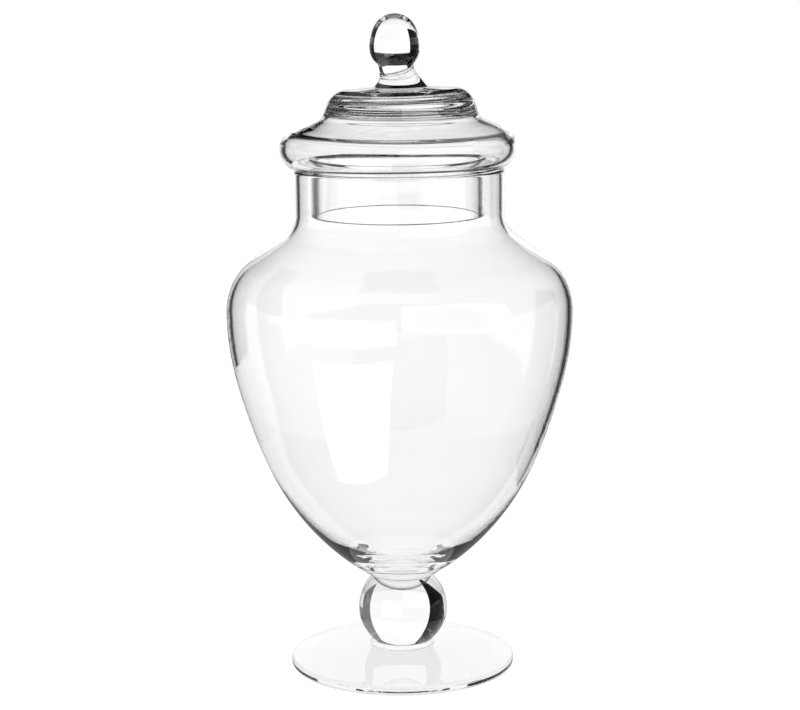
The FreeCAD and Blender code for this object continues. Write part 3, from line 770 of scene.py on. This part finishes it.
# %% [markdown]
# ## The studio
# Clear glass shows only what stands round it. It is lit from behind with a white screen, with
# black cards at the sides, and the glass draws its own dark edges. The room above the screen
# is dark. A plain white room would be simpler, but then the glass would hardly show.

# %% The room
world = bpy.data.worlds.new("studio")
world.use_nodes = True
bpy.context.scene.world = world
wn, wl = world.node_tree.nodes, world.node_tree.links
SCREEN_TOP = 8.5        # degrees above the horizon where the white ends
SCREEN_GLOW = 1.08
ROOM_RIGHT, ROOM_LEFT = 0.055, 0.004
FRONT_SHARE = 0.10      # in front the room has this share of the light


def math_node(kind, first, second=None, nodes=wn, links=wl):
    node = nodes.new("ShaderNodeMath")
    node.operation = kind
    for socket, value in zip(node.inputs, (first, second)):
        if value is None:
            continue
        if isinstance(value, (int, float)):
            socket.default_value = value
        else:
            links.new(value, socket)
    return node.outputs[0]


def fade(value, low, high, at_low, at_high):
    node = wn.new("ShaderNodeMapRange")
    node.interpolation_type = "SMOOTHSTEP"
    wl.new(value, node.inputs["Value"])
    for word, number in (("From Min", low), ("From Max", high)):
        node.inputs[word].default_value = number
    for word, number in (("To Min", at_low), ("To Max", at_high)):
        if isinstance(number, (int, float)):
            node.inputs[word].default_value = number
        else:
            wl.new(number, node.inputs[word])
    return node.outputs["Result"]


where = wn.new("ShaderNodeTexCoord")
split = wn.new("ShaderNodeSeparateXYZ")
wl.new(where.outputs["Generated"], split.inputs[0])
east, north, up = split.outputs
room = fade(east, 0.10, 0.24, ROOM_LEFT, ROOM_RIGHT)
horizon = math.sin(math.radians(SCREEN_TOP))
screen = fade(up, horizon - 0.02, horizon + 0.02, SCREEN_GLOW, room)
front = fade(north, -0.45, -0.25, FRONT_SHARE, 1.0)
seen_by_glass = math_node("MULTIPLY", screen, front)
path = wn.new("ShaderNodeLightPath")
plain = math_node("MAXIMUM", path.outputs["Is Camera Ray"], path.outputs["Is Diffuse Ray"])
blend = wn.new("ShaderNodeMix")
blend.data_type = "RGBA"
wl.new(plain, blend.inputs["Factor"])
wl.new(seen_by_glass, blend.inputs["A"])
blend.inputs["B"].default_value = (1, 1, 1, 1)
wl.new(blend.outputs["Result"], wn["Background"].inputs["Color"])
wn["Background"].inputs["Strength"].default_value = 1.0
print("the white ends at", round(horizon, 3), "up")

# %% [markdown]
# The cards are flat boards that glow a little, a lot or not at all. The camera never sees them,
# only the glass does. Some are seen in mirrors only, so that they don't show through the bowl.

# %% Boards round the jar
TABLE_TOP = 0.001       # boards that lie on the table are this high


def on_ring(angle, distance, height):
    """A spot round the jar: angle in degrees from straight behind it, clockwise from above."""
    a = math.radians(angle)
    return Vector((math.sin(a) * distance, math.cos(a) * distance, height))


def card(name, corners, glow, mirrored_only=False):
    mesh = bmesh.new()
    mesh.faces.new([mesh.verts.new(c) for c in corners])
    bmesh.ops.triangulate(mesh, faces=mesh.faces)
    data = bpy.data.meshes.new(name)
    mesh.to_mesh(data)
    mesh.free()
    material = bpy.data.materials.new(name)
    material.use_nodes = True
    nodes, links = material.node_tree.nodes, material.node_tree.links
    shader = nodes["Principled BSDF"]
    shader.inputs["Base Color"].default_value = (0, 0, 0, 1)
    shader.inputs["Specular IOR Level"].default_value = 0.0
    cloth = nodes.new("ShaderNodeTexNoise")
    cloth.inputs["Scale"].default_value = 3.0
    level = nodes.new("ShaderNodeMapRange")
    level.inputs["To Min"].default_value = glow * 0.9
    level.inputs["To Max"].default_value = glow * 1.1
    links.new(cloth.outputs["Fac"], level.inputs["Value"])
    shader.inputs["Emission Color"].default_value = (1, 1, 1, 1)
    links.new(level.outputs["Result"], shader.inputs["Emission Strength"])
    data.materials.append(material)
    board = bpy.data.objects.new(name, data)
    board.visible_camera = False
    board.visible_diffuse = False
    board.visible_shadow = False
    board.visible_transmission = not mirrored_only
    bpy.context.scene.collection.objects.link(board)
    return board


def standing(name, start, end, distance, low, high, glow, mirrored_only=False):
    a, b = on_ring(start, distance, 0), on_ring(end, distance, 0)
    corners = [a + Vector((0, 0, low)), b + Vector((0, 0, low)),
               b + Vector((0, 0, high)), a + Vector((0, 0, high))]
    return card(name, corners, glow, mirrored_only)


# %% [markdown]
# A white screen behind, a grey cloth on the table in front, and dark boards at both sides. The
# boards are what gives the bowl, the neck and the grip their dark edges.

# %% Screen, cloth and side boards
SCREEN_LEFT, SCREEN_RIGHT, SCREEN_BACK, SCREEN_HIGH = -0.30, 0.50, 0.62, 0.45
card("screen", [Vector((SCREEN_LEFT, SCREEN_BACK, 0)), Vector((SCREEN_RIGHT, SCREEN_BACK, 0)),
                Vector((SCREEN_RIGHT, SCREEN_BACK, SCREEN_HIGH)),
                Vector((SCREEN_LEFT, SCREEN_BACK, SCREEN_HIGH))], SCREEN_GLOW)
front_cloth = card("front_cloth", [on_ring(150, 0.30, TABLE_TOP), on_ring(150, 2.0, TABLE_TOP),
                                   on_ring(180, 2.0, TABLE_TOP), on_ring(210, 2.0, TABLE_TOP),
                                   on_ring(210, 0.30, TABLE_TOP), on_ring(180, 0.26, TABLE_TOP)], 0.1)
front_cloth.visible_glossy = False
standing("black_left", -26, -62, 0.80, 0.0, 1.0, 0.0)
standing("dark_left_near", -40, -110, 0.19, 0.10, 0.6, 0.14, True)
standing("black_right", 39, 72, 0.26, 0.05, 0.8, 0.0)
standing("grey_right", 39, 72, 0.26, 0.0, 0.05, 0.25)
standing("dark_right_near", 44, 110, 0.19, 0.05, 0.6, 0.14, True)

# %% [markdown]
# The ball is a strong lens and shows what is right behind it. Two narrow flags close behind it
# give it its dark sides. They could stand far off and be large, but then the bowl shows them too.
# From higher up or from the side, these still show through the glass as small dark marks.

# %% Flags behind the ball
FLAG_BACK, FLAG_LOW = 0.045, 0.013
for name, near, far, high, glow in (("ball_flag_left", -0.0045, -0.030, 0.046, 0.0),
                                    ("ball_flag_right", 0.0100, 0.028, 0.043, 0.2)):
    flag = card(name, [Vector((near, FLAG_BACK, FLAG_LOW)), Vector((far, FLAG_BACK, FLAG_LOW)),
                       Vector((far, FLAG_BACK, high)), Vector((near, FLAG_BACK, high))], glow)
    flag.visible_glossy = False

# %% [markdown]
# Two soft boxes stand in front, one to each side, and a third lies low on the left and widens
# away from the jar. They leave the faint bright patches on the bowl.

# %% Soft boxes
BOX_GLOW, LOW_BOX_GLOW = 2.0, 3.0
LOW_BOX_NEAR, LOW_BOX_FAR = 0.18, 0.73
card("box_left", [on_ring(-118, 1.1, 0.0), on_ring(-178, 1.1, 0.0),
                  on_ring(-178, 1.1, 0.60), on_ring(-120, 1.1, 0.47)], BOX_GLOW, True)
card("box_left_low", [on_ring(-124, LOW_BOX_FAR, TABLE_TOP), on_ring(-128, LOW_BOX_NEAR, TABLE_TOP),
                      on_ring(-170, LOW_BOX_NEAR, TABLE_TOP),
                      on_ring(-176, LOW_BOX_FAR, TABLE_TOP)], LOW_BOX_GLOW, True)
card("box_right", [on_ring(179, 1.2, 0.27), on_ring(106, 1.2, 0.05),
                   on_ring(103, 1.2, 0.80), on_ring(179, 1.2, 1.30)], BOX_GLOW, True)

# %% [markdown]
# A weak, wide lamp overhead. Glass neither mirrors nor bends it.

# %% The overhead lamp
sun_data = bpy.data.lights.new("overhead", "SUN")
sun_data.energy = 0.55
sun_data.angle = math.radians(20)
sun = bpy.data.objects.new("overhead", sun_data)
bpy.context.scene.collection.objects.link(sun)
sun.visible_glossy = False
sun.visible_transmission = False
print("lamp", sun_data.energy)

# %% [markdown]
# ## The camera
# A long lens a little above the jar, looking down ten degrees. A short lens from near by would
# make the lid look large and the foot small.

# %% Camera
lens = bpy.data.cameras.new("camera")
lens.lens = 101.4
lens.sensor_width = 36
camera = bpy.data.objects.new("camera", lens)
bpy.context.scene.collection.objects.link(camera)
DISTANCE, EYE, PITCH, ROLL = 1.36264, 0.44609, 10.4166, -0.5
camera.location = (0, -DISTANCE, EYE)
look = Matrix.Rotation(math.radians(90 - PITCH), 4, "X") @ Matrix.Rotation(math.radians(ROLL), 4, "Z")
camera.rotation_euler = look.to_euler()
bpy.context.scene.camera = camera
print("camera at", tuple(camera.location), "lens", lens.lens)

# %% [markdown]
# Light goes in and out of many skins of glass here, so it is followed for longer than usual.
# Where the count of turns runs out, light that is still inside the glass is lost and turns black.

# %% How far light is followed
bpy.context.scene.view_settings.view_transform = "Standard"
bpy.context.scene.cycles.max_bounces = 32
bpy.context.scene.cycles.transmission_bounces = 32
bpy.context.scene.cycles.glossy_bounces = 8
bpy.context.scene.cycles.transparent_max_bounces = 32
